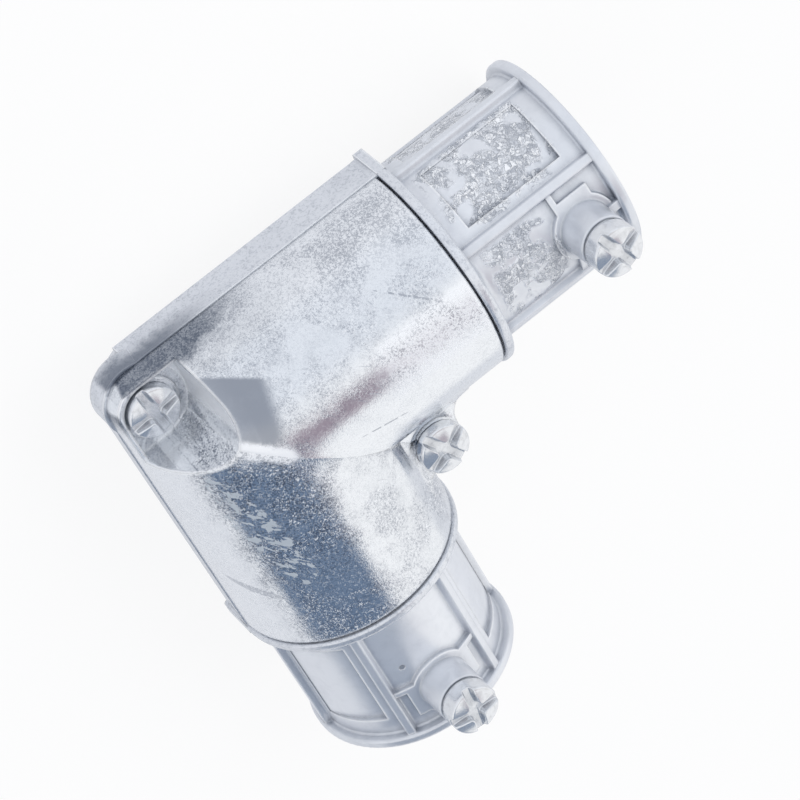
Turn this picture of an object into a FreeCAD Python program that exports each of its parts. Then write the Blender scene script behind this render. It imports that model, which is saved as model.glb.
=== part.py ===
import FreeCAD, Part
import math
import os

# Inside corner pull elbow for thin-wall conduit: a die-cast body with two screw-clamp hubs at
# right angles, a lift-off cover over the corner, two cover screws and two set screws.
# Every shape is laid out about the point where the two hub axes cross, X hub along +X, Y hub
# along +Y and the cover on the +Z side. The finished pieces are then shifted so that the origin
# lies under the middle of the part, on the surface that it lies on. Sizes are in millimetres.

# Conduit sockets
CONDUIT_OD = 23.42
SOCKET_CLEARANCE = 0.22
STOP_BORE = 21.0
STOP_LENGTH = 2.4
STOP_ROUND = 0.6
MOUTH_CHAMFER = 0.5

# Hubs
HUB_WALL = 1.97
HUB_LENGTH = 23.85
COLLAR_LENGTH = 1.45
COLLAR_ROUND = 0.6
COLLAR_ROOT = 1.0
RIM_HEIGHT = 1.4
RIM_LENGTH = 1.5
RIM_ROUND = 0.4
RIM_ROOT = 0.3

# Ribs along each hub, with the set screw midway between two of them
RIB_COUNT = 6
RIB_HEIGHT = 1.0
RIB_TOP_WIDTH = 1.2
RIB_BASE_WIDTH = 1.7
RIB_ROOT = 0.5
RIB_EDGE = 0.2

# Shallow windows sunk between the ribs, deepest towards the set screw in the two beside it
WINDOW_DEPTH = 0.48
WINDOW_LEAN = 1.05
WINDOW_END_MARGIN = 2.9
WINDOW_SIDE_MARGIN_DEG = 9.5

# Set screw boss and the thickened pad that it stands on
SET_SCREW_INSET = 6.8
BOSS_TOP_RADIUS = 3.65
BOSS_DRAFT_DEG = 1.0
BOSS_HEIGHT = 5.5
BOSS_EDGE = 0.25
PAD_HEIGHT = 0.65
PAD_BEFORE_AXIS = 2.6
PAD_PAST_AXIS = 2.9
PAD_HALF_ANGLE_DEG = 21.0
PAD_SKIRT = 1.0
STEP_WEB_LENGTH = 0.8
BOSS_WEB_WIDTH = 1.3

# Corner chamber, its cover and the half-round channel under it
CHAMBER_RADIUS = 14.1
COVER_WALL = 2.05
COVER_REACH = 29.7
COVER_END_ROUND = 0.35
COVER_END_GAP = 0.25
PARTING_DROP = 0.1
BODY_LEDGE = 0.15
COLLAR_PROUD = 0.15

# Straight flanks that square off the channel under the parting plane
FLANK_DEPTH = 6.4
FLANK_INSET = 0.3
FLANK_ROUND = 0.6
FLANK_HEEL_GAP = 6.3
FLANK_COLLAR_GROW = 0.45

# Heel: screw pocket in the cover, screw column in the body
HEEL_CORNER_RADIUS = 4.85
HEEL_SEAT = 1.8
HEEL_SPOT_HEIGHT = 0.7
HEEL_SPOT_RADIUS = 4.3
HEEL_LIP_HEIGHT = 1.4
HEEL_LIP_WALL = 0.95
HEEL_POCKET_RADIUS = 5.85
HEEL_POCKET_DRAFT_DEG = 4.0
HEEL_POCKET_WALL = 1.6
HEEL_SWEEP = 8.0
HEEL_COLUMN_PROUD = 0.3
HEEL_COLUMN_DEPTH = 4.0
HEEL_POST_WALL = 2.0

# Throat: screw ear on the cover, lug under it on the body
THROAT_SCREW_OFFSET = 0.7
THROAT_EAR_RADIUS = 3.8
THROAT_FLARE = 3.4
THROAT_FLOOR = 9.3
THROAT_SPOT_HEIGHT = 1.1
THROAT_SPOT_RADIUS = 3.0
THROAT_BANK_RADIUS = 3.1
THROAT_BANK_DEG = 55.0
THROAT_BANK_HEIGHT = 1.1
THROAT_LUG_DEPTH = 9.0

# Screws
HEAD_RADIUS = 3.6
COVER_HEAD_SIDE = 1.4
SET_HEAD_SIDE = 2.45
HEAD_DOME = 0.85
HEAD_EDGE = 0.3
SLOT_WIDTH = 1.35
SLOT_DEPTH = 1.3
SLOT_CORNER = 0.7
COVER_SCREW_D = 4.17
HEEL_SCREW_LENGTH = 7.9
THROAT_SCREW_LENGTH = 15.9
SET_SCREW_D = 4.83
SET_HEAD_GAP = 0.35
SET_TIP_CLEARANCE = 0.15
TIP_CHAMFER = 0.4
THREAD_CLEARANCE = 0.05
PASS_CLEARANCE = 0.3
BLIND_CLEARANCE = 0.8
HEEL_SLOT_DEG = 5.0
THROAT_SLOT_DEG = 29.0
X_SET_SLOT_DEG = -7.0
Y_SET_SLOT_DEG = 20.0

# Radii about the hub axes
socket_r = CONDUIT_OD / 2 + SOCKET_CLEARANCE
stop_r = STOP_BORE / 2
barrel_r = socket_r + HUB_WALL
rib_r = barrel_r + RIB_HEIGHT
rim_r = barrel_r + RIM_HEIGHT
pad_r = barrel_r + PAD_HEIGHT
cover_r = CHAMBER_RADIUS + COVER_WALL
body_r = cover_r + BODY_LEDGE
collar_r = body_r + COLLAR_PROUD

# Distances from the crossing of the axes, along a hub
collar_x = COVER_REACH + COVER_END_GAP
collar_end = collar_x + COLLAR_LENGTH
stop_end = collar_x + STOP_LENGTH
mouth_x = collar_x + HUB_LENGTH
rim_x = mouth_x - RIM_LENGTH
set_x = mouth_x - SET_SCREW_INSET
pad_start = set_x - PAD_BEFORE_AXIS
pad_end = set_x + PAD_PAST_AXIS

# Height of the plane between body and cover, a little under the hub axes
parting_z = -PARTING_DROP

# Screw places and heights
heel_at = HEEL_CORNER_RADIUS - cover_r
heel_seat_z = HEEL_SEAT + HEEL_SPOT_HEIGHT
throat_at = cover_r + THROAT_SCREW_OFFSET
throat_seat_z = THROAT_FLOOR + THROAT_SPOT_HEIGHT
boss_top = barrel_r + BOSS_HEIGHT
cover_screw_r = COVER_SCREW_D / 2
set_screw_r = SET_SCREW_D / 2
set_head_z = boss_top + SET_HEAD_GAP
set_screw_length = set_head_z - socket_r - SET_TIP_CLEARANCE

# Lengths that only have to reach past everything
far = mouth_x + collar_r
past = 1.0

X_AXIS = FreeCAD.Vector(1, 0, 0)
Z_AXIS = FreeCAD.Vector(0, 0, 1)
ORIGIN = FreeCAD.Vector(0, 0, 0)
ACROSS_MITRE = FreeCAD.Vector(1, -1, 0)


def rounded_wire(corners, place):
    """Closed outline through corners (u, v, radius), each rounded by an arc; place maps u, v to 3-D."""
    count = len(corners)
    starts = []
    middles = []
    ends = []
    for index in range(count):
        u, v, radius = corners[index]
        here = FreeCAD.Vector(u, v, 0)
        back = FreeCAD.Vector(*corners[index - 1][:2], 0) - here
        ahead = FreeCAD.Vector(*corners[(index + 1) % count][:2], 0) - here
        back.normalize()
        ahead.normalize()
        half_angle = back.getAngle(ahead) / 2
        tangent = radius / math.tan(half_angle)
        centre_way = back + ahead
        starts.append(here + back * tangent)
        ends.append(here + ahead * tangent)
        if radius > 0:
            centre_way.normalize()
            middles.append(here + centre_way * (radius / math.sin(half_angle) - radius))
        else:
            middles.append(here)
    edges = []
    for index in range(count):
        if corners[index][2] > 0:
            points = [place(p.x, p.y) for p in (starts[index], middles[index], ends[index])]
            edges.append(Part.Arc(*points).toShape())
        leave = ends[index]
        arrive = starts[(index + 1) % count]
        if leave.distanceToPoint(arrive) > 1e-6:
            edges.append(Part.LineSegment(place(leave.x, leave.y), place(arrive.x, arrive.y)).toShape())
    return Part.Wire(edges)


def along_hub(u, v):
    """Outline plane for turned shapes: u along X, v outward from the axis."""
    return FreeCAD.Vector(u, 0, v)


def across_hub(u, v):
    """Outline plane square to the X hub: u to the side, v toward the set screw."""
    return FreeCAD.Vector(0, u, v)


def flat(u, v):
    """Outline plane seen from above."""
    return FreeCAD.Vector(u, v, 0)


def turned(corners, angle=360.0):
    """Solid swept about the X axis from an outline along the hub."""
    return Part.Face(rounded_wire(corners, along_hub)).revolve(ORIGIN, X_AXIS, angle)


def prism(corners, low, high):
    """Upright solid with a flat outline, from height low to height high."""
    outline = rounded_wire(corners, flat)
    outline.translate(Z_AXIS * low)
    return Part.Face(outline).extrude(Z_AXIS * (high - low))


def drum(x, y, radius, low, high):
    """Upright cylinder."""
    return Part.makeCylinder(radius, high - low, FreeCAD.Vector(x, y, low))


def mirrored(shape):
    """The same feature on the other hub."""
    return shape.mirror(ORIGIN, ACROSS_MITRE)


def both_hubs(shape):
    """A feature of the X hub together with its mirror image on the Y hub."""
    return [shape, mirrored(shape)]


def rings_sector(inner, outer, start, end, middle_deg, half_deg):
    """Part of a ring about the X axis; angles run from the set screw side."""
    corners = [(start, inner, 0), (end, inner, 0), (end, outer, 0), (start, outer, 0)]
    shape = turned(corners, 2 * half_deg)
    shape.rotate(ORIGIN, X_AXIS, middle_deg - half_deg)
    return shape


def elbow(radius, reach, end_round=0.0):
    """Solid mitred bend of two round arms that end at reach."""
    corners = [(-2 * radius, 0, 0), (reach, 0, 0), (reach, radius, end_round), (-2 * radius, radius, 0)]
    arm = turned(corners)
    x_side = prism([(-far, -far, 0), (far, -far, 0), (far, far, 0)], -far, far)
    arm = arm.common(x_side)
    return arm.fuse(mirrored(arm)).removeSplitter().Solids[0]


def block(low, high):
    """Everything between two heights."""
    return Part.makeBox(2 * far, 2 * far, high - low, FreeCAD.Vector(-far, -far, low))


def heel_outline(face, corner_radius):
    """Plan with a rounded heel corner whose sides lie at -face."""
    return [(-face, -face, corner_radius), (far, -face, 0), (far, far, 0), (-face, far, 0)]


def scoop(centre, way, radius, draft_deg, floor, low, high):
    """Drafted pocket, rounded about a screw at (centre, centre) and open towards +way of both axes."""
    sections = []
    for z in (low, high):
        wall_radius = radius + (z - floor) * math.tan(math.radians(draft_deg))
        wall = centre - way * wall_radius
        corners = [(wall, wall, wall_radius), (way * far, wall, 0), (way * far, way * far, 0),
                   (wall, way * far, 0)]
        outline = rounded_wire(corners, flat)
        outline.translate(Z_AXIS * z)
        sections.append(outline)
    return Part.makeLoft(sections, True, True)


def heel_scoop(grow, low, high):
    """Pocket round the heel screw, open towards the two outer sides."""
    return scoop(heel_at, -1, HEEL_POCKET_RADIUS + grow, HEEL_POCKET_DRAFT_DEG, HEEL_SEAT, low, high)


def lower_bend(radius, reach):
    """Lower half of a bend whose outer corner is swept round an upright line at the heel."""
    corner = Part.makeBox(far, far, 2 * far, FreeCAD.Vector(-HEEL_SWEEP - far, -HEEL_SWEEP - far, -far))
    axis_top = FreeCAD.Vector(-HEEL_SWEEP, -HEEL_SWEEP, 0)
    axis_low = FreeCAD.Vector(-HEEL_SWEEP, -HEEL_SWEEP, -math.sqrt(radius ** 2 - HEEL_SWEEP ** 2))
    edge_top = FreeCAD.Vector(-HEEL_SWEEP, -radius, 0)
    lean = math.asin(HEEL_SWEEP / radius) / 2 + math.pi / 4
    edge_middle = FreeCAD.Vector(-HEEL_SWEEP, -radius * math.sin(lean), -radius * math.cos(lean))
    outline = Part.Wire([
        Part.LineSegment(axis_low, axis_top).toShape(), Part.LineSegment(axis_top, edge_top).toShape(),
        Part.Arc(edge_top, edge_middle, axis_low).toShape()])
    turn = Part.Face(outline).revolve(axis_top, -Z_AXIS, 90)
    half = elbow(radius, reach).common(block(-far, 0))
    return half.cut(corner).fuse(turn).removeSplitter().Solids[0]


def flank(grow, start, end):
    """Square-sided band of the X arm under the axis, from start to end along it."""
    half = body_r - FLANK_INSET + grow
    depth = FLANK_DEPTH + grow
    section = rounded_wire([
        (-half, 0, 0), (half, 0, 0), (half, -depth, FLANK_ROUND), (-half, -depth, FLANK_ROUND)], across_hub)
    section.translate(X_AXIS * start)
    return Part.Face(section).extrude(X_AXIS * (end - start))


def throat_outline(grow):
    """Plan of the throat ear: a boss round the screw that flares into both arms."""
    side = throat_at + THROAT_EAR_RADIUS + grow
    root = throat_at - THROAT_EAR_RADIUS + grow
    reach = side + THROAT_FLARE
    return [(0, 0, 0), (reach, 0, 0), (reach, root, 0), (side, root, THROAT_FLARE),
            (side, side, THROAT_EAR_RADIUS + grow), (root, side, THROAT_FLARE), (root, reach, 0), (0, reach, 0)]


def hub():
    """X hub, still solid: turned barrel with collar, rim, ribs, sunk windows and set screw boss."""
    barrel = turned([
        (collar_x, 0, 0), (mouth_x, 0, 0), (mouth_x, rim_r, RIM_ROUND), (rim_x, rim_r, RIM_ROUND),
        (rim_x, barrel_r, RIM_ROOT), (collar_end, barrel_r, COLLAR_ROOT),
        (collar_end, collar_r, COLLAR_ROUND), (collar_x, collar_r, COLLAR_ROUND / 2)])

    step_deg = 360.0 / RIB_COUNT
    half_base = RIB_BASE_WIDTH / 2
    foot = half_base + 2 * RIB_ROOT
    foot_r = math.sqrt(barrel_r ** 2 - foot ** 2) - RIB_ROOT / 10
    section = rounded_wire([
        (-foot, socket_r, 0), (foot, socket_r, 0), (foot, foot_r, 0), (half_base, foot_r, RIB_ROOT),
        (RIB_TOP_WIDTH / 2, rib_r, RIB_EDGE), (-RIB_TOP_WIDTH / 2, rib_r, RIB_EDGE),
        (-half_base, foot_r, RIB_ROOT), (-foot, foot_r, 0)], across_hub)
    section.translate(X_AXIS * (collar_x + COLLAR_LENGTH / 2))
    rib_length = rim_x + RIM_LENGTH / 2 - collar_x - COLLAR_LENGTH / 2
    rib = Part.Face(section).extrude(X_AXIS * rib_length)
    lean_sides = {1: 1, RIB_COUNT - 1: -1}
    added = []
    sunk = []
    for index in range(RIB_COUNT):
        turned_rib = rib.copy()
        turned_rib.rotate(ORIGIN, X_AXIS, (index + 0.5) * step_deg)
        added.append(turned_rib)
        if index > 0:
            window = rings_sector(
                stop_r, rim_r, collar_end + WINDOW_END_MARGIN, rim_x - WINDOW_END_MARGIN,
                index * step_deg, step_deg / 2 - WINDOW_SIDE_MARGIN_DEG)
            floor = Part.makeCylinder(barrel_r - WINDOW_DEPTH, far, ORIGIN, X_AXIS)
            turn = math.radians(index * step_deg)
            away = FreeCAD.Vector(0, -math.cos(turn), -math.sin(turn))
            floor.translate(away * (WINDOW_LEAN * lean_sides.get(index, 0)))
            sunk.append(window.cut(floor))
    barrel = barrel.cut(sunk)

    draft = math.tan(math.radians(BOSS_DRAFT_DEG))
    boss_corners = [
        (0, 0, 0), (BOSS_TOP_RADIUS + boss_top * draft, 0, 0), (BOSS_TOP_RADIUS, boss_top, BOSS_EDGE),
        (0, boss_top, 0)]
    boss = Part.Face(rounded_wire(boss_corners, along_hub)).revolve(ORIGIN, Z_AXIS, 360)
    boss.translate(X_AXIS * set_x)
    added.append(boss)
    pad = rings_sector(stop_r, pad_r, pad_start, pad_end, 0, PAD_HALF_ANGLE_DEG)
    added.append(pad)
    added.append(rings_sector(stop_r, pad_r, pad_start, pad_start + STEP_WEB_LENGTH, 0, step_deg / 2))
    skirt_ring = turned([(pad_start - 2 * BOSS_TOP_RADIUS, stop_r, 0), (rim_x, stop_r, 0), (rim_x, pad_r, 0),
                         (pad_start - 2 * BOSS_TOP_RADIUS, pad_r, 0)])
    added.append(drum(set_x, 0, BOSS_TOP_RADIUS + PAD_SKIRT, 0, far).common(skirt_ring))
    web_length = rim_x + RIM_LENGTH / 2 - set_x
    added.append(Part.makeBox(web_length, BOSS_WEB_WIDTH, rib_r - stop_r,
                              FreeCAD.Vector(set_x, -BOSS_WEB_WIDTH / 2, stop_r)))
    return barrel.fuse(added)


def hub_hollow():
    """Clear way through the X hub: socket, conduit stop and set screw thread."""
    bore = turned([
        (collar_x - past, 0, 0), (mouth_x + past, 0, 0), (mouth_x + past, socket_r + MOUTH_CHAMFER + past, 0),
        (mouth_x - MOUTH_CHAMFER, socket_r, 0), (stop_end, socket_r, 0), (stop_end, stop_r, STOP_ROUND),
        (collar_x - past, stop_r, 0)])
    thread = drum(set_x, 0, set_screw_r + THREAD_CLEARANCE, stop_r / 2, boss_top + past)
    return bore.fuse(thread)


def body():
    """Die-cast body: half-round channel round the corner, both hubs, heel column and throat lug."""
    shell = lower_bend(body_r, collar_x + COLLAR_LENGTH / 2)
    lug = prism(throat_outline(BODY_LEDGE), -THROAT_LUG_DEPTH, 0)
    column = drum(heel_at, heel_at, body_r + heel_at + HEEL_COLUMN_PROUD, -HEEL_COLUMN_DEPTH, 0)
    flanks = both_hubs(flank(0, FLANK_HEEL_GAP - body_r, collar_x + COLLAR_LENGTH / 2))
    flanks += both_hubs(flank(FLANK_COLLAR_GROW, collar_x, collar_end))
    shell = shell.fuse([lug, column] + flanks).cut(lower_bend(CHAMBER_RADIUS, collar_x))
    screw_post = drum(heel_at, heel_at, cover_screw_r + HEEL_POST_WALL, -far, 0)
    screw_post = screw_post.common(lower_bend((CHAMBER_RADIUS + body_r) / 2, collar_x))
    shell = shell.fuse(screw_post).cut(block(parting_z, past))
    solid = shell.fuse(both_hubs(hub()))
    thread_r = cover_screw_r + THREAD_CLEARANCE
    heel_tip = heel_seat_z - HEEL_SCREW_LENGTH - BLIND_CLEARANCE
    throat_tip = throat_seat_z - THROAT_SCREW_LENGTH - BLIND_CLEARANCE
    solid = solid.cut(both_hubs(hub_hollow()) + [
        drum(heel_at, heel_at, thread_r, heel_tip, past),
        drum(throat_at, throat_at, thread_r, throat_tip, past)])
    return solid.removeSplitter()


def cover():
    """Die-cast cover: half-round shell over the corner, heel pocket and throat ear for its screws."""
    bank_top = THROAT_FLOOR + THROAT_BANK_HEIGHT
    ear = prism(throat_outline(0), parting_z, bank_top)
    clear = scoop(
        throat_at, 1, THROAT_BANK_RADIUS, THROAT_BANK_DEG, THROAT_FLOOR, THROAT_FLOOR, bank_top + past)
    ear = ear.cut(clear)
    throat_spot = drum(throat_at, throat_at, THROAT_SPOT_RADIUS, parting_z, throat_seat_z)
    shell = elbow(cover_r, COVER_REACH, COVER_END_ROUND).common(block(parting_z, far))
    shell = shell.fuse([ear, throat_spot]).removeSplitter()
    shell = shell.common(prism(heel_outline(cover_r, HEEL_CORNER_RADIUS), parting_z, far))

    shell = shell.cut(elbow(CHAMBER_RADIUS, COVER_REACH + past))
    mid_wall = COVER_WALL / 2
    pocket_wall = heel_scoop(HEEL_POCKET_WALL, parting_z, cover_r + past).common(
        elbow(cover_r - mid_wall, COVER_REACH / 2))
    pocket_wall = pocket_wall.common(
        prism(heel_outline(cover_r - mid_wall, HEEL_CORNER_RADIUS - mid_wall), parting_z, far))
    shell = shell.fuse(pocket_wall)
    lip_face = cover_r - HEEL_LIP_WALL
    lip_block = block(parting_z, HEEL_SEAT + HEEL_LIP_HEIGHT)
    lip_block = lip_block.cut(prism(heel_outline(lip_face, HEEL_CORNER_RADIUS - HEEL_LIP_WALL), -past, far))
    spot = drum(heel_at, heel_at, HEEL_SPOT_RADIUS, 0, heel_seat_z)
    pocket = heel_scoop(0, HEEL_SEAT, cover_r + past).cut([lip_block, spot])

    pass_r = cover_screw_r + PASS_CLEARANCE
    solid = shell.cut([
        pocket, drum(heel_at, heel_at, pass_r, -past, far), drum(throat_at, throat_at, pass_r, -past, far)])
    return solid.removeSplitter()


def screw(radius, length, head_side, slot_deg):
    """Screw with a domed, cross-slotted head whose underside is at height 0."""
    top = head_side + HEAD_DOME
    rim = HEAD_RADIUS - HEAD_EDGE
    dome_r = (rim ** 2 + (HEAD_DOME - HEAD_EDGE) ** 2) / (2 * (HEAD_DOME - HEAD_EDGE))
    lean = math.asin(rim / dome_r) / 2
    dome_middle = FreeCAD.Vector(dome_r * math.sin(lean), 0, top - dome_r + dome_r * math.cos(lean))
    outline = [(0, -length), (radius - TIP_CHAMFER, -length), (radius, TIP_CHAMFER - length), (radius, 0),
               (HEAD_RADIUS, 0), (HEAD_RADIUS, head_side), (rim, head_side + HEAD_EDGE)]
    points = [along_hub(*point) for point in outline]
    edges = [Part.LineSegment(a, b).toShape() for a, b in zip(points, points[1:])]
    crown = along_hub(0, top)
    edges.append(Part.Arc(points[-1], dome_middle, crown).toShape())
    edges.append(Part.LineSegment(crown, points[0]).toShape())
    blank = Part.Face(Part.Wire(edges)).revolve(ORIGIN, Z_AXIS, 360)
    half = SLOT_WIDTH / 2
    reach = HEAD_RADIUS + past
    cross = prism([
        (reach, half, 0), (half, half, SLOT_CORNER), (half, reach, 0), (-half, reach, 0),
        (-half, half, SLOT_CORNER), (-reach, half, 0), (-reach, -half, 0), (-half, -half, SLOT_CORNER),
        (-half, -reach, 0), (half, -reach, 0), (half, -half, SLOT_CORNER), (reach, -half, 0)],
        top - SLOT_DEPTH, top + past)
    solid = blank.cut(cross)
    solid.rotate(ORIGIN, Z_AXIS, slot_deg)
    return solid


def placed(solid, x, y, z):
    """The solid moved to a point."""
    solid.translate(FreeCAD.Vector(x, y, z))
    return solid


pieces = {
    "body": body(),
    "cover": cover(),
    "heel_cover_screw": placed(
        screw(cover_screw_r, HEEL_SCREW_LENGTH, COVER_HEAD_SIDE, HEEL_SLOT_DEG),
        heel_at, heel_at, heel_seat_z),
    "throat_cover_screw": placed(
        screw(cover_screw_r, THROAT_SCREW_LENGTH, COVER_HEAD_SIDE, THROAT_SLOT_DEG),
        throat_at, throat_at, throat_seat_z),
    "x_hub_set_screw": placed(
        screw(set_screw_r, set_screw_length, SET_HEAD_SIDE, X_SET_SLOT_DEG), set_x, 0, set_head_z),
    "y_hub_set_screw": placed(
        screw(set_screw_r, set_screw_length, SET_HEAD_SIDE, Y_SET_SLOT_DEG), 0, set_x, set_head_z),
}

heel_face = -(body_r + HEEL_COLUMN_PROUD)
middle = (mouth_x + heel_face) / 2
os.makedirs("parts", exist_ok=True)
for name, shape in pieces.items():
    shape.translate(FreeCAD.Vector(-middle, -middle, collar_r))
    shape.exportStep(os.path.join("parts", name + ".step"))
    print(name, "valid" if shape.isValid() else "not valid", len(shape.Solids), "solid",
          round(shape.Volume, 1), "mm3", len(shape.Faces), "faces")
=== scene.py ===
import math

import bpy
from bpy.props import FloatProperty, FloatVectorProperty, IntProperty, PointerProperty
from mathutils import Matrix, Vector


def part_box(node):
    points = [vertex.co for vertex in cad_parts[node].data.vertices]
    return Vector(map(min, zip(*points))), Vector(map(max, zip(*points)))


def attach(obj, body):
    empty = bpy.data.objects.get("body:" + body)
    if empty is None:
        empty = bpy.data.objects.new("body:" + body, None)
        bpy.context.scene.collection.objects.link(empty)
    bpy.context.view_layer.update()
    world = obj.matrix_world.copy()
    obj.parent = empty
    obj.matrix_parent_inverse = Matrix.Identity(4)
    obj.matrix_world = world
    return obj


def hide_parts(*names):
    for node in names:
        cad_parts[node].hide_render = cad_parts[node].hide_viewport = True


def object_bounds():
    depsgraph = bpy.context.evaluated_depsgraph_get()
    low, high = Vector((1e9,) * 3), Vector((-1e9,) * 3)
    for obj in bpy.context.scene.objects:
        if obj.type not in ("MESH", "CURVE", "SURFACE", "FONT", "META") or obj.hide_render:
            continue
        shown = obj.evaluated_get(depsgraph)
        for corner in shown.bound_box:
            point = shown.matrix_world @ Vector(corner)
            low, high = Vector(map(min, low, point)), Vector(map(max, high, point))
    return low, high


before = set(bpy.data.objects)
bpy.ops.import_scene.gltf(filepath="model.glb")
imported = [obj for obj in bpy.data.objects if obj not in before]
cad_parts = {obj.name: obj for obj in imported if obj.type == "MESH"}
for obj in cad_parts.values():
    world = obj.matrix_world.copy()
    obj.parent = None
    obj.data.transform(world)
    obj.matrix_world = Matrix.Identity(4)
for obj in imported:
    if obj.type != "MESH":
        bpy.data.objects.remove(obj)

bl_info = {
    "name": "Conduit pull elbow",
    "version": (1, 0, 0),
    "blender": (4, 5, 0),
    "location": "3D View > Sidebar > Elbow",
    "description": "Dresses a die-cast inside corner pull elbow and sets up its studio",
    "category": "Object",
}

cad_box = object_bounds()

MILLIMETRES = 1000.0
WHITE = (1.0, 1.0, 1.0)

# Camera of the photograph: its place in metres, and the directions of its right, down and forward.
CAMERA_PLACE = Vector((-0.32121910, -0.07928747, 0.39491707))
CAMERA_RIGHT = Vector((0.39614, 0.77470, 0.49287))
CAMERA_DOWN = Vector((0.66267, -0.61278, 0.43056))
CAMERA_FORWARD = Vector((0.63557, 0.15605, -0.75611))
CAMERA_LENS_MM = 169.785
CAMERA_SENSOR_MM = 36.0

# Soft lamp, aimed at the origin: its place and width in metres.
LAMP_PLACE = Vector((-0.35, 0.45, 0.7))
LAMP_WIDTH = 0.5

# Screens that the metal mirrors: range of the direction's X or Y part, and of its degrees from overhead.
DARK_SCREEN_X = (0.40, 0.88)
DARK_SCREEN_DEGREES = (-82.0, 4.0)
DARK_SCREEN_SOFT_DEGREES = 3.0
WARM_SCREEN_Y = (0.02, 0.30)
WARM_SCREEN_DEGREES = (13.0, 30.0)
WARM_SCREEN_SOFT_DEGREES = 5.0
SCREEN_SOFT = 0.05
UNLIT_DEGREES = (-24.0, 8.0)
UNLIT_FROM_HEIGHT = (-0.05, 0.15)

# Crossing of the two hub axes, which the finishes are laid out from, and the castings' sizes from it.
AXIS_CROSSING_MM = (-18.6, -18.6, 16.45)
COVER_RADIUS_MM = 16.15
HUB_RADIUS_MM = 13.9
COLLAR_END_MM = 31.4
RIM_FACE_MM = 52.3
PANEL_DEGREES = 60.0

# Heel pocket of the cover: its screw's place on both axes, its radius, where its wall with painted light
# lies from that radius, and how far to the Y side the wall comes in.
HEEL_SCREW_MM = -11.3
POCKET_RADIUS_MM = 5.85
POCKET_WALL_MM = (-0.2, 0.9)
POCKET_WALL_SOFT_MM = 0.2
POCKET_WALL_SIDE_MM = (2.0, 3.5)

# Outer skin of the cover, and the sides of its arms in degrees round from the screw side: where each fades.
OUTER_SKIN_MM = (-0.5, -0.2)
X_LEFT_DEGREES = (-62.0, -46.0)
X_RIGHT_DEGREES = (5.0, 30.0)
Y_LEFT_DEGREES = (-66.0, -36.0)
# Where the painted light on the Y arm's plain left side comes in along the arm.
Y_LEFT_LIT_MM = (2.0, 12.0)
Y_RIGHT_DEGREES = (-8.0, 8.0)

# Specked band that mirrors the dark screen on the X arm, and where it thins out along the arm.
DARK_BAND_DEGREES = (-48.0, -2.0)
DARK_BAND_SOFT_DEGREES = 6.0
DARK_BAND_THINS_MM = (15.0, 22.0)

# Dense grit on the Y arm near its collar, and the painted highlight at the end of the strip beside it.
DENSE_GRIT_MM = (18.0, 27.0)
DENSE_GRIT_SOFT_MM = 4.0
DENSE_GRIT_DEGREES = (-80.0, -55.0)
DENSE_GRIT_SOFT_DEGREES = 8.0
BRIGHT_END_MM = (14.0, 20.0)
BRIGHT_END_DEGREES = (-20.0, 4.0)
BRIGHT_END_SOFT_DEGREES = 6.0

# Smooth patch beside the heel pocket, painted grey as a reflection and darkened with painted shade: the
# slants of its two edges, and where each of them fades.
PATCH_TOP_SLANT = 2.94
PATCH_TOP_DEGREES = (-47.2, -44.0)
PATCH_END_SLANT = 0.096
PATCH_END_MM = (-3.4, -1.0)
PATCH_SIDE_DEGREES = (-20.0, -12.0)
PATCH_SHADE_MM = (-7.0, -1.0)

# Painted dark shade along the heel seam: its edge, how far that wanders and slants, and where it ends on
# each arm.
SEAM_DEGREES = -77.0
SEAM_WANDER_DEGREES = 14.0
SEAM_SLANT = 0.9
SEAM_SOFT_DEGREES = 5.0
SEAM_END_X_MM = (-13.0, -9.0)
SEAM_END_Y_MM = (2.0, 13.0)

# Rounding of the ridge and the valley between the cover's arms, and the stretch of the ridge with a painted
# highlight.
RIDGE_WIDTH_MM = 4.0
RIDGE_START_MM = (-8.0, -6.5)
HIGHLIT_LENGTH_MM = (-9.0, -1.5)
HIGHLIT_SOFT_MM = 1.5
HIGHLIT_WIDTH_MM = (0.7, 1.5)

# Row of torn pale islands on the X arm: its middle (along, round the arm), half sizes and slant, then the
# islands' own size and slant.
ISLAND_ROW_MM = (7.9, -10.2)
ISLAND_ROW_LENGTH_MM = 11.5
ISLAND_ROW_WIDTH_MM = 2.6
ISLAND_ROW_DEGREES = 12.0
ISLAND_LENGTH_MM = 2.3
ISLAND_WIDTH_MM = 1.0
ISLAND_DEGREES = 45.0

# Grey smear on the X arm: its middle (along, round the arm), half sizes and slant.
SMEAR_MM = (18.4, -16.9)
SMEAR_LENGTH_MM = 4.4
SMEAR_WIDTH_MM = 0.6
SMEAR_DEGREES = 65.0

# Broken scratches on the Y arm: middle (along, round the arm), half length and slant of each.
SCRATCHES_MM = (
    ((22.95, -8.45), 5.45, 46.5),
    ((10.95, 4.15), 3.5, 15.3),
)
SCRATCH_WIDTH_MM = 0.14

# Flow marks of the melt on the cover, and streaks in its pocket and inside: length, width and slant.
FLOW_MARK_MM = (4.0, 0.42)
FLOW_MARK_DEGREES = 42.0
POCKET_STREAK_MM = (5.0, 1.1)
POCKET_STREAK_DEGREES = -38.0

# Windows of a hub: half width, ends beside collar and rim, shorter where the boss stands; and the facets of
# the crumpled ones.
WINDOW_HALF_DEGREES = 23.0
WINDOW_SOFT_DEGREES = 3.0
WINDOW_RAGGED_DEGREES = 6.0
WINDOW_START_MM = (1.2, 2.4)
WINDOW_TO_RIM_MM = 3.2
WINDOW_TO_BOSS_MM = 6.5
WINDOW_DEPTH_MM = (1.4, 0.9)
WINDOW_END_SOFT_MM = 1.0
COLLAR_SOFT_MM = 0.6
FACETS_PER_MM = 1.7
FACET_SWAY_MM = 2.4
FACET_SWAYS_PER_MM = 1.1
FACET_SWAY_DETAIL = 5.0
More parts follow.
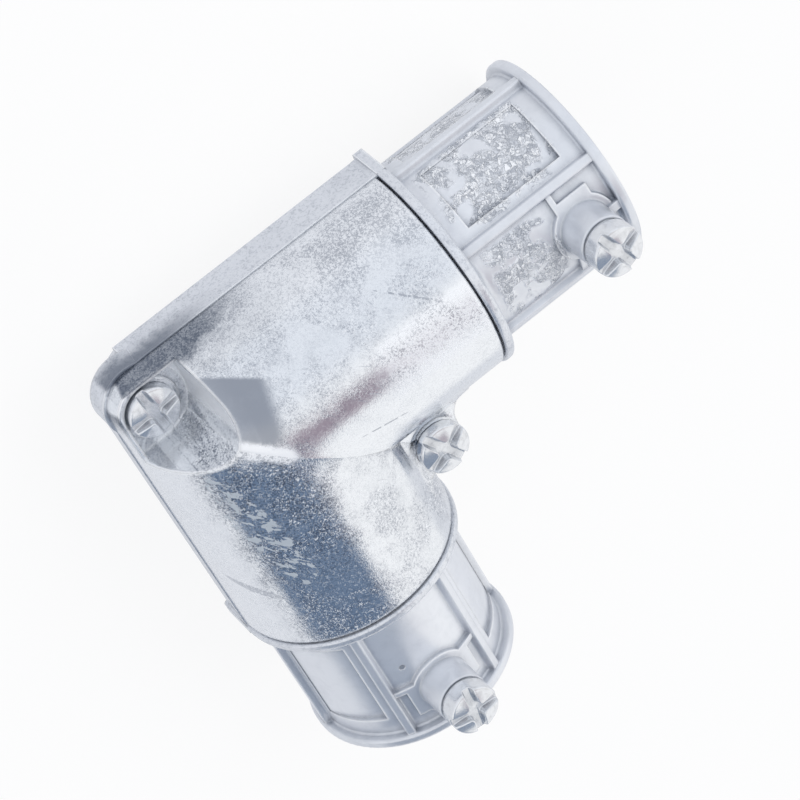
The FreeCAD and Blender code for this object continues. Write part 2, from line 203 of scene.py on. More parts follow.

# Painted dark shade on the body's heel: the outside it lies on, and where it ends along the flank and
# downwards.
HEEL_OUTSIDE_MM = (-15.8, -15.2)
HEEL_SHADE_END_MM = (-4.0, 8.0)
HEEL_SHADE_DEPTH_MM = (-3.5, 0.6)

# Small casting pits on the two hubs.
PITS_MM = ((41.1, -3.84, 13.39), (-13.93, 36.8, -0.6))
PIT_RADIUS_MM = (0.28, 0.52)

# Noises of the finishes: size of their features in millimetres, detail, roughness and distortion.
COVER_PATCHES = (7.0, 3.0, 0.5, 0.6)
COVER_MOTTLE = (2.2, 5.0, 0.65, 0.4)
COVER_GRAIN = (0.30, 3.0, 0.62, 0.9)
COVER_FINE = (0.15, 2.0, 0.5, 0.3)
COVER_CREASES = (0.9, 4.0, 0.6, 1.6)
COVER_GLINTS = (0.34, 3.0, 0.6, 1.2)
FLOW_FIELD = (6.0, 1.0, 0.5, 0.0)
SCRATCH_BREAKS = (0.9, 2.0, 0.55, 0.0)
BODY_PATCHES = (4.5, 3.0, 0.5, 0.5)
BODY_MOTTLE = (1.8, 5.0, 0.65, 0.6)
BODY_GRIT = (0.4, 3.0, 0.6, 0.9)
BODY_FINE = (0.14, 2.0, 0.5, 0.0)
PLATE_SMEARS = (1.1, 4.0, 0.6, 0.7)
PLATE_FINE = (0.12, 2.0, 0.5, 0.0)

# Noise of streaks, whose size is counted in their own lengths and widths.
STREAK_NOISE = (1.0, 3.0, 0.6, 0.5)

# Ranges of noise, or of a facet's chance or distance from a crease, over which the marks come in.
CLOUD_RANGE = (0.42, 0.68)
GRIT_RANGE = (0.38, 0.60)
SPECK_RANGE = (0.62, 0.68)
CREASE_RANGE = (0.010, 0.032)
FLOW_RANGE = (0.62, 0.70)
FLOW_FIELD_RANGE = (0.52, 0.62)
TORN_RANGE = (0.53, 0.56)
UNBROKEN_RANGE = (0.42, 0.50)
STREAK_RANGE = (0.50, 0.60)
GLINT_RANGE = (0.565, 0.60)
CLUSTER_RANGE = (0.44, 0.56)
SEAM_GRAIN_RANGE = (0.62, 0.78)
BODY_CLOUD_RANGE = (0.42, 0.70)
BODY_GRIT_RANGE = (0.64, 0.80)
BARE_WINDOW_RANGE = (0.48, 0.58)
DARK_FACET_RANGE = (0.10, 0.45)
BRIGHT_FACET_RANGE = (0.60, 0.85)
STROKE_RANGE = (0.02, 0.10)
FACET_SLOPE_RANGE = (0.0, 0.3)
SMEAR_RANGE = (0.40, 0.75)
SMEAR_ROUGH_RANGE = (0.35, 0.75)

# Edges and corners: samples, and ranges of the normal's turn, of the corners' depth and of a blot's edge.
EDGE_SAMPLES = 8
CORNER_SAMPLES = 6
EDGE_TURN_RANGE = (0.015, 0.07)
EDGE_CORNER_RANGE = (0.10, 0.35)
HUB_CORNER_RANGE = (0.22, 0.65)
SLOT_CORNER_RANGE = (0.12, 0.75)
BLOT_EDGE_RANGE = (0.92, 1.08)

# Heights and depths of the finishes' bumps.
GRAIN_HEIGHT_MM = 0.008
GRIT_HEIGHT_MM = 0.022
FINE_HEIGHT_MM = 0.010
MOTTLE_HEIGHT_MM = 0.008
FLOW_DEPTH_MM = 0.010
CRUMPLE_HEIGHT_MM = 0.16
PIT_DEPTH_MM = 0.15
PLATE_FINE_HEIGHT_MM = 0.005
PLATE_SMEAR_HEIGHT_MM = 0.010

# How strongly each mark of the cover dulls the metal, the shaded corners being painted shade and the heel
# patch a painted grey reflection, and how strongly each painted highlight or painted light whitens it.
COVER_DULL_SHARES = {
    "clouds": 0.30,
    "specks": 0.70,
    "creases": 0.60,
    "y_left": 0.10,
    "flow": 0.45,
    "smear": 0.55,
    "scratches": 1.00,
    "x_right": 0.10,
    "heel_patch": 0.95,
    "shaded_corners": 0.40,
    "streaks": 0.60,
}
COVER_HIGHLIGHT_SHARES = {
    "edges": 1.00,
    "glints": 0.80,
    "bright_end": 0.80,
    "highlit": 0.95,
    "y_left_lit": 0.40,
    "x_left_lit": 0.50,
    "pocket_wall": 0.75,
}

# How strongly each mark of the body dulls it; the strokes and the shaded corners are painted shade.
BODY_DULL_SHARES = {
    "clouds": 0.20,
    "grit": 0.50,
    "strokes": 0.60,
    "dark_facets": 0.70,
    "chamber": 0.15,
    "hub_frame": 0.15,
    "shaded_corners": 1.00,
}

# Roughness and metallic value of each finish before its marks change them.
COVER_ROUGHNESS = 0.08
BODY_ROUGHNESS = 0.21
SCREW_ROUGHNESS = 0.13
COVER_METALLIC = 1.0
BODY_METALLIC = 0.64
SCREW_METALLIC = 0.8

# Screws by the nodes they stand for, and the direction of each one's slots.
COVER_SCREWS = ("heel_cover_screw", "throat_cover_screw")
SET_SCREWS = ("x_hub_set_screw", "y_hub_set_screw")
SLOT_DEGREES = {
    "heel_cover_screw": 5.0,
    "throat_cover_screw": 29.0,
    "x_hub_set_screw": -7.0,
    "y_hub_set_screw": 20.0,
}

# Mesh rings of a screw; flanks of its thread as shares of half a pitch, turns over which the thread starts
# and ends, and the share of its root's radius at the point.
HEAD_SIDE_RINGS = 6
HEAD_RING_CROWDING = 0.85
THREAD_RINGS_PER_TURN = 9
THREAD_FEWEST_RINGS = 8
THREAD_FLANK = (0.12, 0.88)
THREAD_START_TURNS = 0.6
THREAD_END_TURNS = 1.2
THREAD_POINT_SHARE = 0.80


class CastingSettings(bpy.types.PropertyGroup):
    """Colours and edges of the two zinc castings."""

    bright: FloatVectorProperty(
        name="Bright zinc", description="Colour of the cover's smooth bright skin", subtype="COLOR",
        min=0.0, max=1.0, default=(0.87, 0.895, 0.93))
    body_bright: FloatVectorProperty(
        name="Satin zinc", description="Colour of the body's satin skin", subtype="COLOR",
        min=0.0, max=1.0, default=(0.84, 0.86, 0.90))
    dull: FloatVectorProperty(
        name="Dull zinc", description="Colour of the dull grey mottles", subtype="COLOR",
        min=0.0, max=1.0, default=(0.47, 0.495, 0.545))
    # Stain and shade: colour of dark tarnish and pits, and of the painted shade in deep corners, along the
    # heel seam and on the heel patch.
    stain_and_shade: FloatVectorProperty(
        name="Stain", description="Colour of dark tarnish, pits and deep corners", subtype="COLOR",
        min=0.0, max=1.0, default=(0.10, 0.125, 0.175))
    frost: FloatVectorProperty(
        name="Frost", description="Colour of the dull pale islands", subtype="COLOR",
        min=0.0, max=1.0, default=(0.56, 0.61, 0.66))
    # Colour of the painted highlights and painted light on edges, glints, the ridge, the pocket wall and the
    # plain sides, and of the body's pale crumpled facets.
    highlight_and_pale: FloatVectorProperty(
        name="Worn zinc", description="Colour of glints and of rubbed outer edges", subtype="COLOR",
        min=0.0, max=1.0, default=(0.97, 0.98, 1.0))
    # Reach of the painted shade in inner corners.
    corner_reach: FloatProperty(
        name="Corner reach", description="Width of the darker line in inner corners", unit="LENGTH",
        min=0.0, default=0.0014)
    body_edge: FloatProperty(
        name="Body edge", description="Radius of the body's softened edges", unit="LENGTH",
        min=0.0, default=0.0005)
    cover_edge: FloatProperty(
        name="Cover edge", description="Radius of the cover's softened edges", unit="LENGTH",
        min=0.0, default=0.0009)


class ScrewSettings(bpy.types.PropertyGroup):
    """Sizes and colours of the four zinc plated screws."""

    plate: FloatVectorProperty(
        name="Zinc plate", description="Colour of the plated steel", subtype="COLOR",
        min=0.0, max=1.0, default=(0.83, 0.845, 0.87))
    plate_smear: FloatProperty(
        name="Plate smear", description="Brightness of the smears on the plate", subtype="FACTOR",
        min=0.0, max=1.0, default=0.72)
    slot_shade: FloatVectorProperty(
        name="Slot shade", description="Colour of the plate deep in the slots", subtype="COLOR",
        min=0.0, max=1.0, default=(0.20, 0.225, 0.265))
    # Colour of the painted highlights on the edges of the heads.
    slot_edge_highlight: FloatVectorProperty(
        name="Slot edge", description="Colour of the rubbed edges of the heads", subtype="COLOR",
        min=0.0, max=1.0, default=(0.95, 0.96, 0.98))
    head_radius: FloatProperty(
        name="Head radius", description="Radius of every screw head", unit="LENGTH",
        min=0.001, default=0.0036)
    head_dome: FloatProperty(
        name="Head dome", description="Height of the dome above the head's side", unit="LENGTH",
        min=0.0001, default=0.00085)
    head_edge: FloatProperty(
        name="Head edge", description="Rounding between the head's side and its dome", unit="LENGTH",
        min=0.0001, default=0.0003)
    cover_head_side: FloatProperty(
        name="Cover screw side", description="Height of a cover screw head's side", unit="LENGTH",
        min=0.0001, default=0.0014)
    set_head_side: FloatProperty(
        name="Set screw side", description="Height of a set screw head's side", unit="LENGTH",
        min=0.0001, default=0.00245)
    cover_shank_radius: FloatProperty(
        name="Cover screw thread", description="Outer radius of a cover screw's thread", unit="LENGTH",
        min=0.0005, default=0.002085)
    set_shank_radius: FloatProperty(
        name="Set screw thread", description="Outer radius of a set screw's thread", unit="LENGTH",
        min=0.0005, default=0.002415)
    thread_pitch: FloatProperty(
        name="Thread pitch", description="Distance between two turns of the thread", unit="LENGTH",
        min=0.0002, default=0.000794)
    thread_depth: FloatProperty(
        name="Thread depth", description="Height of the thread from root to crest", unit="LENGTH",
        min=0.0, default=0.00043)
    slot_width: FloatProperty(
        name="Slot width", description="Width of each arm of the cross slot", unit="LENGTH",
        min=0.0001, default=0.00135)
    slot_depth: FloatProperty(
        name="Slot depth", description="Depth of the slot below the dome's top", unit="LENGTH",
        min=0.0001, default=0.0013)
    slot_corner: FloatProperty(
        name="Slot corner", description="Rounding of the four inner corners of the slot", unit="LENGTH",
        min=0.0001, default=0.0007)
    slot_lip: FloatProperty(
        name="Slot lip", description="Width over which the slot's edges are rounded off", unit="LENGTH",
        min=0.00001, default=0.00016)
    spokes: IntProperty(
        name="Spokes", description="Mesh divisions round a screw", min=24, default=224)
    crown_rings: IntProperty(
        name="Crown rings", description="Mesh divisions from a head's middle to its edge", min=8, default=76)


class StudioSettings(bpy.types.PropertyGroup):
    """Light and floor of the studio."""

    floor: FloatVectorProperty(
        name="Floor", description="Colour of the floor", subtype="COLOR",
        min=0.0, max=1.0, default=(0.92, 0.92, 0.93))
    floor_mirrored: FloatVectorProperty(
        name="Mirrored floor", description="Colour that the metal mirrors from the floor", subtype="COLOR",
        min=0.0, max=1.0, default=(0.77, 0.785, 0.82))
    floor_half: FloatProperty(
        name="Floor half width", description="Half the width of the floor", unit="LENGTH",
        min=0.1, default=3.0)
    surround: FloatVectorProperty(
        name="Surround", description="Colour of the white studio round the part", subtype="COLOR",
        min=0.0, max=1.0, default=WHITE)
    dark_screen: FloatVectorProperty(
        name="Dark screen", description="Colour of the dark blue screen that the cover mirrors",
        subtype="COLOR", min=0.0, max=1.0, default=(0.155, 0.215, 0.315))
    grey_side: FloatVectorProperty(
        name="Grey side", description="Colour of the studio's unlit side", subtype="COLOR",
        min=0.0, max=1.0, default=(0.84, 0.87, 0.92))
    warm_screen: FloatVectorProperty(
        name="Warm screen", description="Colour of the small muted screen that the cover mirrors",
        subtype="COLOR", min=0.0, max=1.0, default=(0.36, 0.30, 0.35))
    lamp_power: FloatProperty(
        name="Lamp power", description="Power of the soft lamp", unit="POWER", min=0.0, default=1.6)
    shadow_share: FloatProperty(
        name="Shadow share", description="How much of the floor's shading shows", subtype="FACTOR",
        min=0.0, max=1.0, default=0.13)


def feed(tree, socket, item):
    """Links a value to a socket, or sets the socket to a number, vector or colour."""
    if isinstance(item, Value):
        tree.links.new(item.socket, socket)
        return
    if socket.type == "RGBA" and len(item) == 3:
        item = (*item, 1.0)
    socket.default_value = item


class Value:
    """One output in a node tree; arithmetic on it adds Math nodes there."""

    def __init__(self, tree, socket):
        self.tree = tree
        self.socket = socket

    def join(self, operation, *items):
        """A Math node of this operation over the items."""
        node = self.tree.nodes.new("ShaderNodeMath")
        node.operation = operation
        for socket, item in zip(node.inputs, items):
            feed(self.tree, socket, item)
        return Value(self.tree, node.outputs[0])

    def maths(self, operation, *others):
        """A Math node of this operation over this value and the others."""
        return self.join(operation, self, *others)

    def at_least(self, other):
        """The greater of this value and the other."""
        return self.maths("MAXIMUM", other)

    def at_most(self, other):
        """The smaller of this value and the other."""
        return self.maths("MINIMUM", other)

    def __add__(self, other):
        return self.maths("ADD", other)

    def __radd__(self, other):
        return self.join("ADD", other, self)

    def __sub__(self, other):
        return self.maths("SUBTRACT", other)

    def __rsub__(self, other):
        return self.join("SUBTRACT", other, self)

    def __mul__(self, other):
        return self.maths("MULTIPLY", other)

    def __rmul__(self, other):
        return self.join("MULTIPLY", other, self)

    def __truediv__(self, other):
        return self.maths("DIVIDE", other)

    def __gt__(self, other):
        return self.maths("GREATER_THAN", other)

    def __lt__(self, other):
        return self.maths("LESS_THAN", other)


class Nodes:
    """Writes the nodes of one material or world."""

    def __init__(self, tree):
        self.tree = tree
        tree.nodes.clear()

    def add(self, kind, settings, sockets, out=0):
        """A node of this kind with its settings made first, then its sockets fed; returns one output."""
        node = self.tree.nodes.new(kind)
        for name, setting in settings.items():
            setattr(node, name, setting)
        for name, item in sockets.items():
            feed(self.tree, node.inputs[name], item)
        return Value(self.tree, node.outputs[out]) if node.outputs else None

    def vector(self, operation, *items):
        """Vector from a Vector Math node over the items."""
        return self.add("ShaderNodeVectorMath", {"operation": operation}, dict(enumerate(items)))

    def measure(self, operation, *items):
        """Number from a Vector Math node over the items."""
        return self.add("ShaderNodeVectorMath", {"operation": operation}, dict(enumerate(items)), "Value")

    def gather(self, x, y, z=0.0):
        """Vector from its three parts."""
        return self.add("ShaderNodeCombineXYZ", {}, {0: x, 1: y, 2: z})

    def axis(self, vector, name):
        """The X, Y or Z part of a vector."""
        return self.add("ShaderNodeSeparateXYZ", {}, {0: vector}, name)

    def noise(self, point, size, detail, roughness, distortion):
        """Noise from 0 to 1 whose features are about size across."""
        return self.add("ShaderNodeTexNoise", {}, {
            "Vector": point, "Scale": 1.0 / size, "Detail": detail, "Roughness": roughness,
            "Distortion": distortion})

    def rise(self, value, low, high):
        """0 below low, 1 above high, smooth between."""
        return self.add("ShaderNodeMapRange", {"interpolation_type": "SMOOTHSTEP"}, {
            "Value": value, "From Min": low, "From Max": high})

    def fall(self, value, low, high):
        """1 below low, 0 above high, smooth between."""
        return 1.0 - self.rise(value, low, high)

    def band(self, value, low, high, soft):
        """1 between low and high, falling to 0 over soft at each end."""
        return self.rise(value, low - soft, low) * self.fall(value, high, high + soft)

    def mix(self, factor, first, second):
        """Colour from first to second."""
        return self.add("ShaderNodeMix", {"data_type": "RGBA"}, {0: factor, 6: first, 7: second}, 2)


class Place:
    """Where a shaded point lies on a casting, in millimetres from the crossing of the hub axes."""

    def __init__(self, nodes):
        spot = nodes.add("ShaderNodeTexCoord", {}, {}, "Object")
        offset = tuple(-part for part in AXIS_CROSSING_MM)
        self.point = nodes.vector("MULTIPLY_ADD", spot, (MILLIMETRES,) * 3, offset)
        self.x = nodes.axis(self.point, "X")
        self.y = nodes.axis(self.point, "Y")
        self.z = nodes.axis(self.point, "Z")
        self.on_y_arm = self.y > self.x
        self.on_x_arm = 1.0 - self.on_y_arm
        # Along the nearer hub axis, beside it, degrees round it from the screw side, and away from it.
        self.along = self.x.at_least(self.y)
        self.side = self.x.at_most(self.y)
        self.degrees = self.side.maths("ARCTAN2", self.z) * math.degrees(1.0)
        self.from_axis = nodes.measure("LENGTH", nodes.gather(self.side, self.z))


def new_material(name):
    """An empty node material and its writer."""
    material = bpy.data.materials.new(name)
    material.use_nodes = True
    return material, Nodes(material.node_tree)


def weighted_sum(shares, marks):
    """Sum of the marks, each times its share, and 1 at most."""
    return sum(share * marks[name] for name, share in shares.items()).at_most(1.0)


def strongest(shares, marks):
    """The greatest of the marks, each times its share."""
    greatest = None
    for name, share in shares.items():
        mark = share * marks[name]
        greatest = mark if greatest is None else greatest.at_least(mark)
    return greatest


def soft_edges(nodes, edge_round, corners):
    """Normal rounded at the edges, and a mask for painted edge highlights: 0 on flats towards 1 along outer
    edges.
    """
    rounded = nodes.add("ShaderNodeBevel", {"samples": EDGE_SAMPLES}, {"Radius": edge_round})
    flat = nodes.add("ShaderNodeNewGeometry", {}, {}, "Normal")
    turned_away = 1.0 - nodes.measure("DOT_PRODUCT", rounded, flat)
    open_edge = nodes.fall(corners, *EDGE_CORNER_RANGE)
    return rounded, nodes.rise(turned_away, *EDGE_TURN_RANGE) * open_edge


def corner_shade(nodes, reach):
    """Mask for painted shade: 0 on open surfaces, towards 1 in corners narrower than reach."""
    settings = {"samples": CORNER_SAMPLES}
    return 1.0 - nodes.add("ShaderNodeAmbientOcclusion", settings, {"Distance": reach}, "AO")


def finish_surface(nodes, colour, roughness, height, normal, metallic):
    """Metal shader from a colour, a roughness, a bump height in millimetres and a normal."""
    normal = nodes.add("ShaderNodeBump", {}, {
        "Strength": 1.0, "Distance": 1.0 / MILLIMETRES, "Height": height, "Normal": normal})
    shader = nodes.add("ShaderNodeBsdfPrincipled", {}, {
        "Base Color": colour, "Metallic": metallic, "Roughness": roughness, "Normal": normal})
    nodes.add("ShaderNodeOutputMaterial", {}, {"Surface": shader})


def slanted(along, across, degrees):
    """Two coordinates of a surface turned by an angle."""
    turn = math.radians(degrees)
    forward = along * math.cos(turn) + across * math.sin(turn)
    sideways = across * math.cos(turn) - along * math.sin(turn)
    return forward, sideways


def flow_marks(nodes, along, across, degrees, length, width):
    """Noise drawn out into streaks that lie at an angle."""
    forward, sideways = slanted(along, across, degrees)
    return nodes.noise(nodes.gather(forward / length, sideways / width), *STREAK_NOISE)


def blot(nodes, along, arc, centre, degrees, length, width, ragged):
    """1 inside an oval spot on an arm, with an edge that wanders by the ragged value."""
    forward, sideways = slanted(along - centre[0], arc - centre[1], degrees)
    reach = nodes.measure("LENGTH", nodes.gather(forward / length, sideways / width))
    return nodes.fall(reach + ragged, *BLOT_EDGE_RANGE)


class CoverSkin:
    """What is seen on the cover, as marks that are 0 where they are absent and 1 where they are full."""

    def __init__(self, nodes, settings):
        self.nodes = nodes
        self.place = Place(nodes)
        point = self.place.point
        self.arc = self.place.degrees * math.radians(COVER_RADIUS_MM)
        self.patches = nodes.noise(point, *COVER_PATCHES)
        self.mottle = nodes.noise(point, *COVER_MOTTLE)
        self.wander = self.mottle - 0.5
        self.grain = nodes.noise(point, *COVER_GRAIN)
        self.fine = nodes.noise(point, *COVER_FINE)
        self.outer = nodes.rise(self.place.from_axis - COVER_RADIUS_MM, *OUTER_SKIN_MM)
        self.inner = 1.0 - self.outer
        self.marks = {}
        self.add_sides()
        self.add_heel_patch()
        self.add_grit()
        self.add_spots()
        self.add_ridge()
        self.add_pocket()
        self.add_glints()
        self.add_seam()
        self.add_edges(settings)

    def add_sides(self):
        """Plain sides of both arms, and the cloudy grey between them."""
        nodes, place, marks = self.nodes, self.place, self.marks
        marks["x_left"] = place.on_x_arm * nodes.fall(place.degrees, *X_LEFT_DEGREES)
        marks["x_right"] = place.on_x_arm * nodes.rise(place.degrees, *X_RIGHT_DEGREES)
        marks["y_left"] = place.on_y_arm * nodes.fall(place.degrees, *Y_LEFT_DEGREES)
        y_right = place.on_y_arm * nodes.rise(place.degrees, *Y_RIGHT_DEGREES)
        self.plain = marks["x_left"].at_least(y_right)
        clouds = nodes.rise(self.patches * 0.45 + self.mottle * 0.55, *CLOUD_RANGE)
        marks["clouds"] = clouds * (1.0 - self.plain)

    def add_heel_patch(self):
        """Smooth patch beside the pocket, between two slanted edges, whose grey is a painted reflection."""
        nodes, place = self.nodes, self.place
        from_top = place.degrees - PATCH_TOP_SLANT * place.along + 3.0 * self.mottle
        from_end = place.along + PATCH_END_SLANT * place.degrees + self.mottle
        patch = nodes.rise(from_top, *PATCH_TOP_DEGREES) * nodes.fall(from_end, *PATCH_END_MM)
        patch = patch * nodes.fall(place.degrees, *PATCH_SIDE_DEGREES) * place.on_y_arm
        self.marks["heel_patch"] = patch * self.outer

    def add_grit(self):
        """Gritty areas, with their specks and creases, and the dark band on the X arm."""
        nodes, place, marks = self.nodes, self.place, self.marks
        dense = nodes.band(place.along, *DENSE_GRIT_MM, DENSE_GRIT_SOFT_MM) * place.on_y_arm
        dense = dense * nodes.band(place.degrees, *DENSE_GRIT_DEGREES, DENSE_GRIT_SOFT_DEGREES)
        in_dark = nodes.band(place.degrees, *DARK_BAND_DEGREES, DARK_BAND_SOFT_DEGREES) * place.on_x_arm
        self.in_dark = in_dark * (1.0 - 0.7 * nodes.rise(place.along, *DARK_BAND_THINS_MM))
        gritty = nodes.rise(self.patches + 0.12 * dense + 0.05 * marks["y_left"], *GRIT_RANGE)
        gritty = (gritty * (1.0 - marks["heel_patch"])).at_least(0.6 * marks["y_left"])
        self.gritty = (gritty * (1.0 - 0.75 * self.plain)).at_least(0.5 * self.in_dark)
        specks = nodes.rise(self.grain + 0.22 * self.mottle + 0.05 * dense, *SPECK_RANGE)
        specks = specks * (0.30 - 0.08 * place.on_y_arm + 0.70 * self.gritty)
        marks["specks"] = specks * (1.0 - 0.12 * place.on_y_arm * (1.0 - dense))
        self.clear = 1.0 - marks["specks"]
        off_crease = nodes.noise(place.point, *COVER_CREASES) - 0.5
        marks["creases"] = nodes.fall(off_crease.maths("ABSOLUTE"), *CREASE_RANGE) * self.gritty

    def add_spots(self):
        """Flow marks all over, torn islands and a smear on the X arm, broken scratches on the Y arm."""
        nodes, place, marks = self.nodes, self.place, self.marks
        flow = flow_marks(nodes, place.along, self.arc, FLOW_MARK_DEGREES, *FLOW_MARK_MM)
        field = nodes.rise(nodes.noise(place.point, *FLOW_FIELD), *FLOW_FIELD_RANGE)
        marks["flow"] = nodes.rise(flow, *FLOW_RANGE) * field
        ragged = self.wander * 0.8
        row = blot(nodes, place.along, self.arc, ISLAND_ROW_MM, ISLAND_ROW_DEGREES, ISLAND_ROW_LENGTH_MM,
                   ISLAND_ROW_WIDTH_MM, ragged)
        torn = flow_marks(nodes, place.along, self.arc, ISLAND_DEGREES, ISLAND_LENGTH_MM, ISLAND_WIDTH_MM)
        self.islands = row * nodes.rise(torn + 0.16 * self.wander, *TORN_RANGE) * place.on_x_arm
        smear = blot(nodes, place.along, self.arc, SMEAR_MM, SMEAR_DEGREES, SMEAR_LENGTH_MM,
                     SMEAR_WIDTH_MM, ragged)
        marks["smear"] = smear * place.on_x_arm
        scratches = 0.0
        for centre, length, slant in SCRATCHES_MM:
            scratches = scratches + blot(
                nodes, place.along, self.arc, centre, slant, length, SCRATCH_WIDTH_MM, ragged)
        unbroken = nodes.rise(nodes.noise(place.point, *SCRATCH_BREAKS), *UNBROKEN_RANGE)
        marks["scratches"] = scratches * place.on_y_arm * unbroken

    def add_ridge(self):
        """Rounding of the mitre between the arms as a bump height, and the painted highlight on a stretch of
        its ridge.
        """
        nodes, place = self.nodes, self.place
        off = ((place.x - place.y) * math.sqrt(0.5)).maths("ABSOLUTE").at_most(RIDGE_WIDTH_MM)
        share = 1.0 - off / RIDGE_WIDTH_MM
        depth = place.side * (math.sqrt(0.125) * RIDGE_WIDTH_MM / COVER_RADIUS_MM)
        self.ridge_height = share * share * depth * nodes.rise(place.along, *RIDGE_START_MM)
        # Painted highlight along the ridge beside the pocket.
        highlit = nodes.fall(off + 1.6 * self.wander, *HIGHLIT_WIDTH_MM)
        highlit = highlit * nodes.band(place.along, *HIGHLIT_LENGTH_MM, HIGHLIT_SOFT_MM)
        self.marks["highlit"] = highlit * self.outer

    def add_pocket(self):
        """Painted light on the wall round the heel screw, and grey streaks on the rest of the pocket and the
        inside.
        """
        nodes, place, marks = self.nodes, self.place, self.marks
        sunken = self.inner * (place.z > 0.0)
        from_screw = nodes.measure("LENGTH", nodes.gather(place.x - HEEL_SCREW_MM, place.y - HEEL_SCREW_MM))
        # Painted light on the wall round the heel screw.
        wall = nodes.band(from_screw - POCKET_RADIUS_MM, *POCKET_WALL_MM, POCKET_WALL_SOFT_MM)
        marks["pocket_wall"] = wall * sunken * nodes.rise(place.y - place.x, *POCKET_WALL_SIDE_MM)
        streaks = flow_marks(nodes, place.x, place.y, POCKET_STREAK_DEGREES, *POCKET_STREAK_MM)
        streaks = nodes.rise(streaks + 0.25 * (self.grain - 0.5), *STREAK_RANGE)
        marks["streaks"] = streaks * sunken * (1.0 - marks["pocket_wall"])

    def add_glints(self):
        """Small painted glints, and painted light on the plain sides and a painted highlight by the Y
        collar.
        """
        nodes, place, marks = self.nodes, self.place, self.marks
        glints = nodes.rise(nodes.noise(place.point, *COVER_GLINTS), *GLINT_RANGE)
        glints = glints * (1.0 - marks["heel_patch"]) * (1.0 - self.islands)
        clustered = 0.45 + 0.55 * nodes.rise(self.patches, *CLUSTER_RANGE)
        marks["glints"] = glints * (1.0 - 0.45 * place.on_y_arm) * clustered
        # Painted highlight on the end of the strip by the Y collar.
        bright_end = nodes.rise(place.along + 6.0 * self.mottle, *BRIGHT_END_MM) * place.on_y_arm
        bright_end = bright_end * nodes.band(place.degrees, *BRIGHT_END_DEGREES, BRIGHT_END_SOFT_DEGREES)
        marks["bright_end"] = bright_end * self.clear * self.outer
        # Painted light that whitens the plain sides of both arms.
        y_left_lit = marks["y_left"] * nodes.rise(place.along, *Y_LEFT_LIT_MM)
        marks["y_left_lit"] = y_left_lit * self.clear * self.outer
        marks["x_left_lit"] = marks["x_left"] * (1.0 - marks["smear"]) * self.clear * self.outer

    def add_seam(self):
        """Painted dark shade along the heel seam and on the heel patch, and dark tarnish in the dark band's
        specks and the pocket.
        """
        nodes, place, marks = self.nodes, self.place, self.marks
        edge = SEAM_DEGREES + SEAM_WANDER_DEGREES * self.wander - SEAM_SLANT * place.along
        y_run = place.on_y_arm * nodes.fall(place.along + 8.0 * self.mottle, *SEAM_END_Y_MM)
        x_run = place.on_x_arm * nodes.fall(place.along, *SEAM_END_X_MM)
        # Painted dark shade along the seam, broken by grain.
        seam = nodes.fall(place.degrees, edge - SEAM_SOFT_DEGREES, edge + SEAM_SOFT_DEGREES)
        speckled = nodes.rise(self.grain + 0.4 * self.mottle, *SEAM_GRAIN_RANGE)
        seam = seam * (y_run + x_run) * self.outer * (0.72 + 0.28 * speckled)
        specks = marks["specks"] * (0.5 * self.in_dark * (1.0 - self.islands) + 0.55 * marks["streaks"])
        # Painted shade on the heel patch, deepening along the arm.
        patch = 0.05 + 0.30 * nodes.rise(place.along + 2.0 * self.mottle, *PATCH_SHADE_MM)
        patch = patch * marks["heel_patch"] * (1.0 - marks["highlit"])
        self.tarnish_and_shade = (seam * 0.9).at_least(specks).at_least(patch)

    def add_edges(self, settings):
        """Softened edges with painted highlights outside, and painted shade in inner corners away from the X
        arm's plain side.
        """
        corners = corner_shade(self.nodes, settings.corner_reach)
        self.normal, self.marks["edges"] = soft_edges(self.nodes, settings.cover_edge, corners)
        # Painted shade in inner corners, which dulls the cover.
        self.marks["shaded_corners"] = corners * (1.0 - self.marks["x_left"]) * self.mottle


def cover_material(settings):
    """Bright die-cast skin: grey grit, flow marks and pale islands, with painted highlights, and painted
    dark shade by the heel seam and in corners.
    """
    material, nodes = new_material("bright_cast_zinc")
    skin = CoverSkin(nodes, settings)
    marks = skin.marks
    # Every whitening mark is painted light: highlights on edges, glints, the ridge and the strip's end, and
    # light on the plain sides and the pocket wall.
    pale = strongest(COVER_HIGHLIGHT_SHARES, marks)
    # The dulling holds painted shade in corners and the heel patch's painted grey reflection.
    colour = nodes.mix(weighted_sum(COVER_DULL_SHARES, marks), settings.bright, settings.dull)
    colour = nodes.mix(skin.islands, colour, settings.frost)
    colour = nodes.mix(pale, colour, settings.highlight_and_pale)
    # Painted dark shade by the heel seam and on the heel patch, with dark tarnish in specks.
    colour = nodes.mix(skin.tarnish_and_shade, colour, settings.stain_and_shade)
    pale = pale.at_least(skin.islands)
    roughness = COVER_ROUGHNESS + 0.06 * skin.gritty + 0.25 * pale
    roughness = roughness + 0.10 * marks["specks"] + 0.08 * marks["flow"]
    height = skin.grain * (GRAIN_HEIGHT_MM + GRIT_HEIGHT_MM * skin.gritty) * (1.0 - skin.islands)
    height = height + skin.fine * FINE_HEIGHT_MM * (1.0 - marks["heel_patch"])
    height = height + skin.mottle * MOTTLE_HEIGHT_MM - marks["flow"] * FLOW_DEPTH_MM + skin.ridge_height
    metallic = COVER_METALLIC - 0.8 * pale.at_least(0.7 * skin.inner)
    finish_surface(nodes, colour, roughness, height, skin.normal, metallic)
    return material


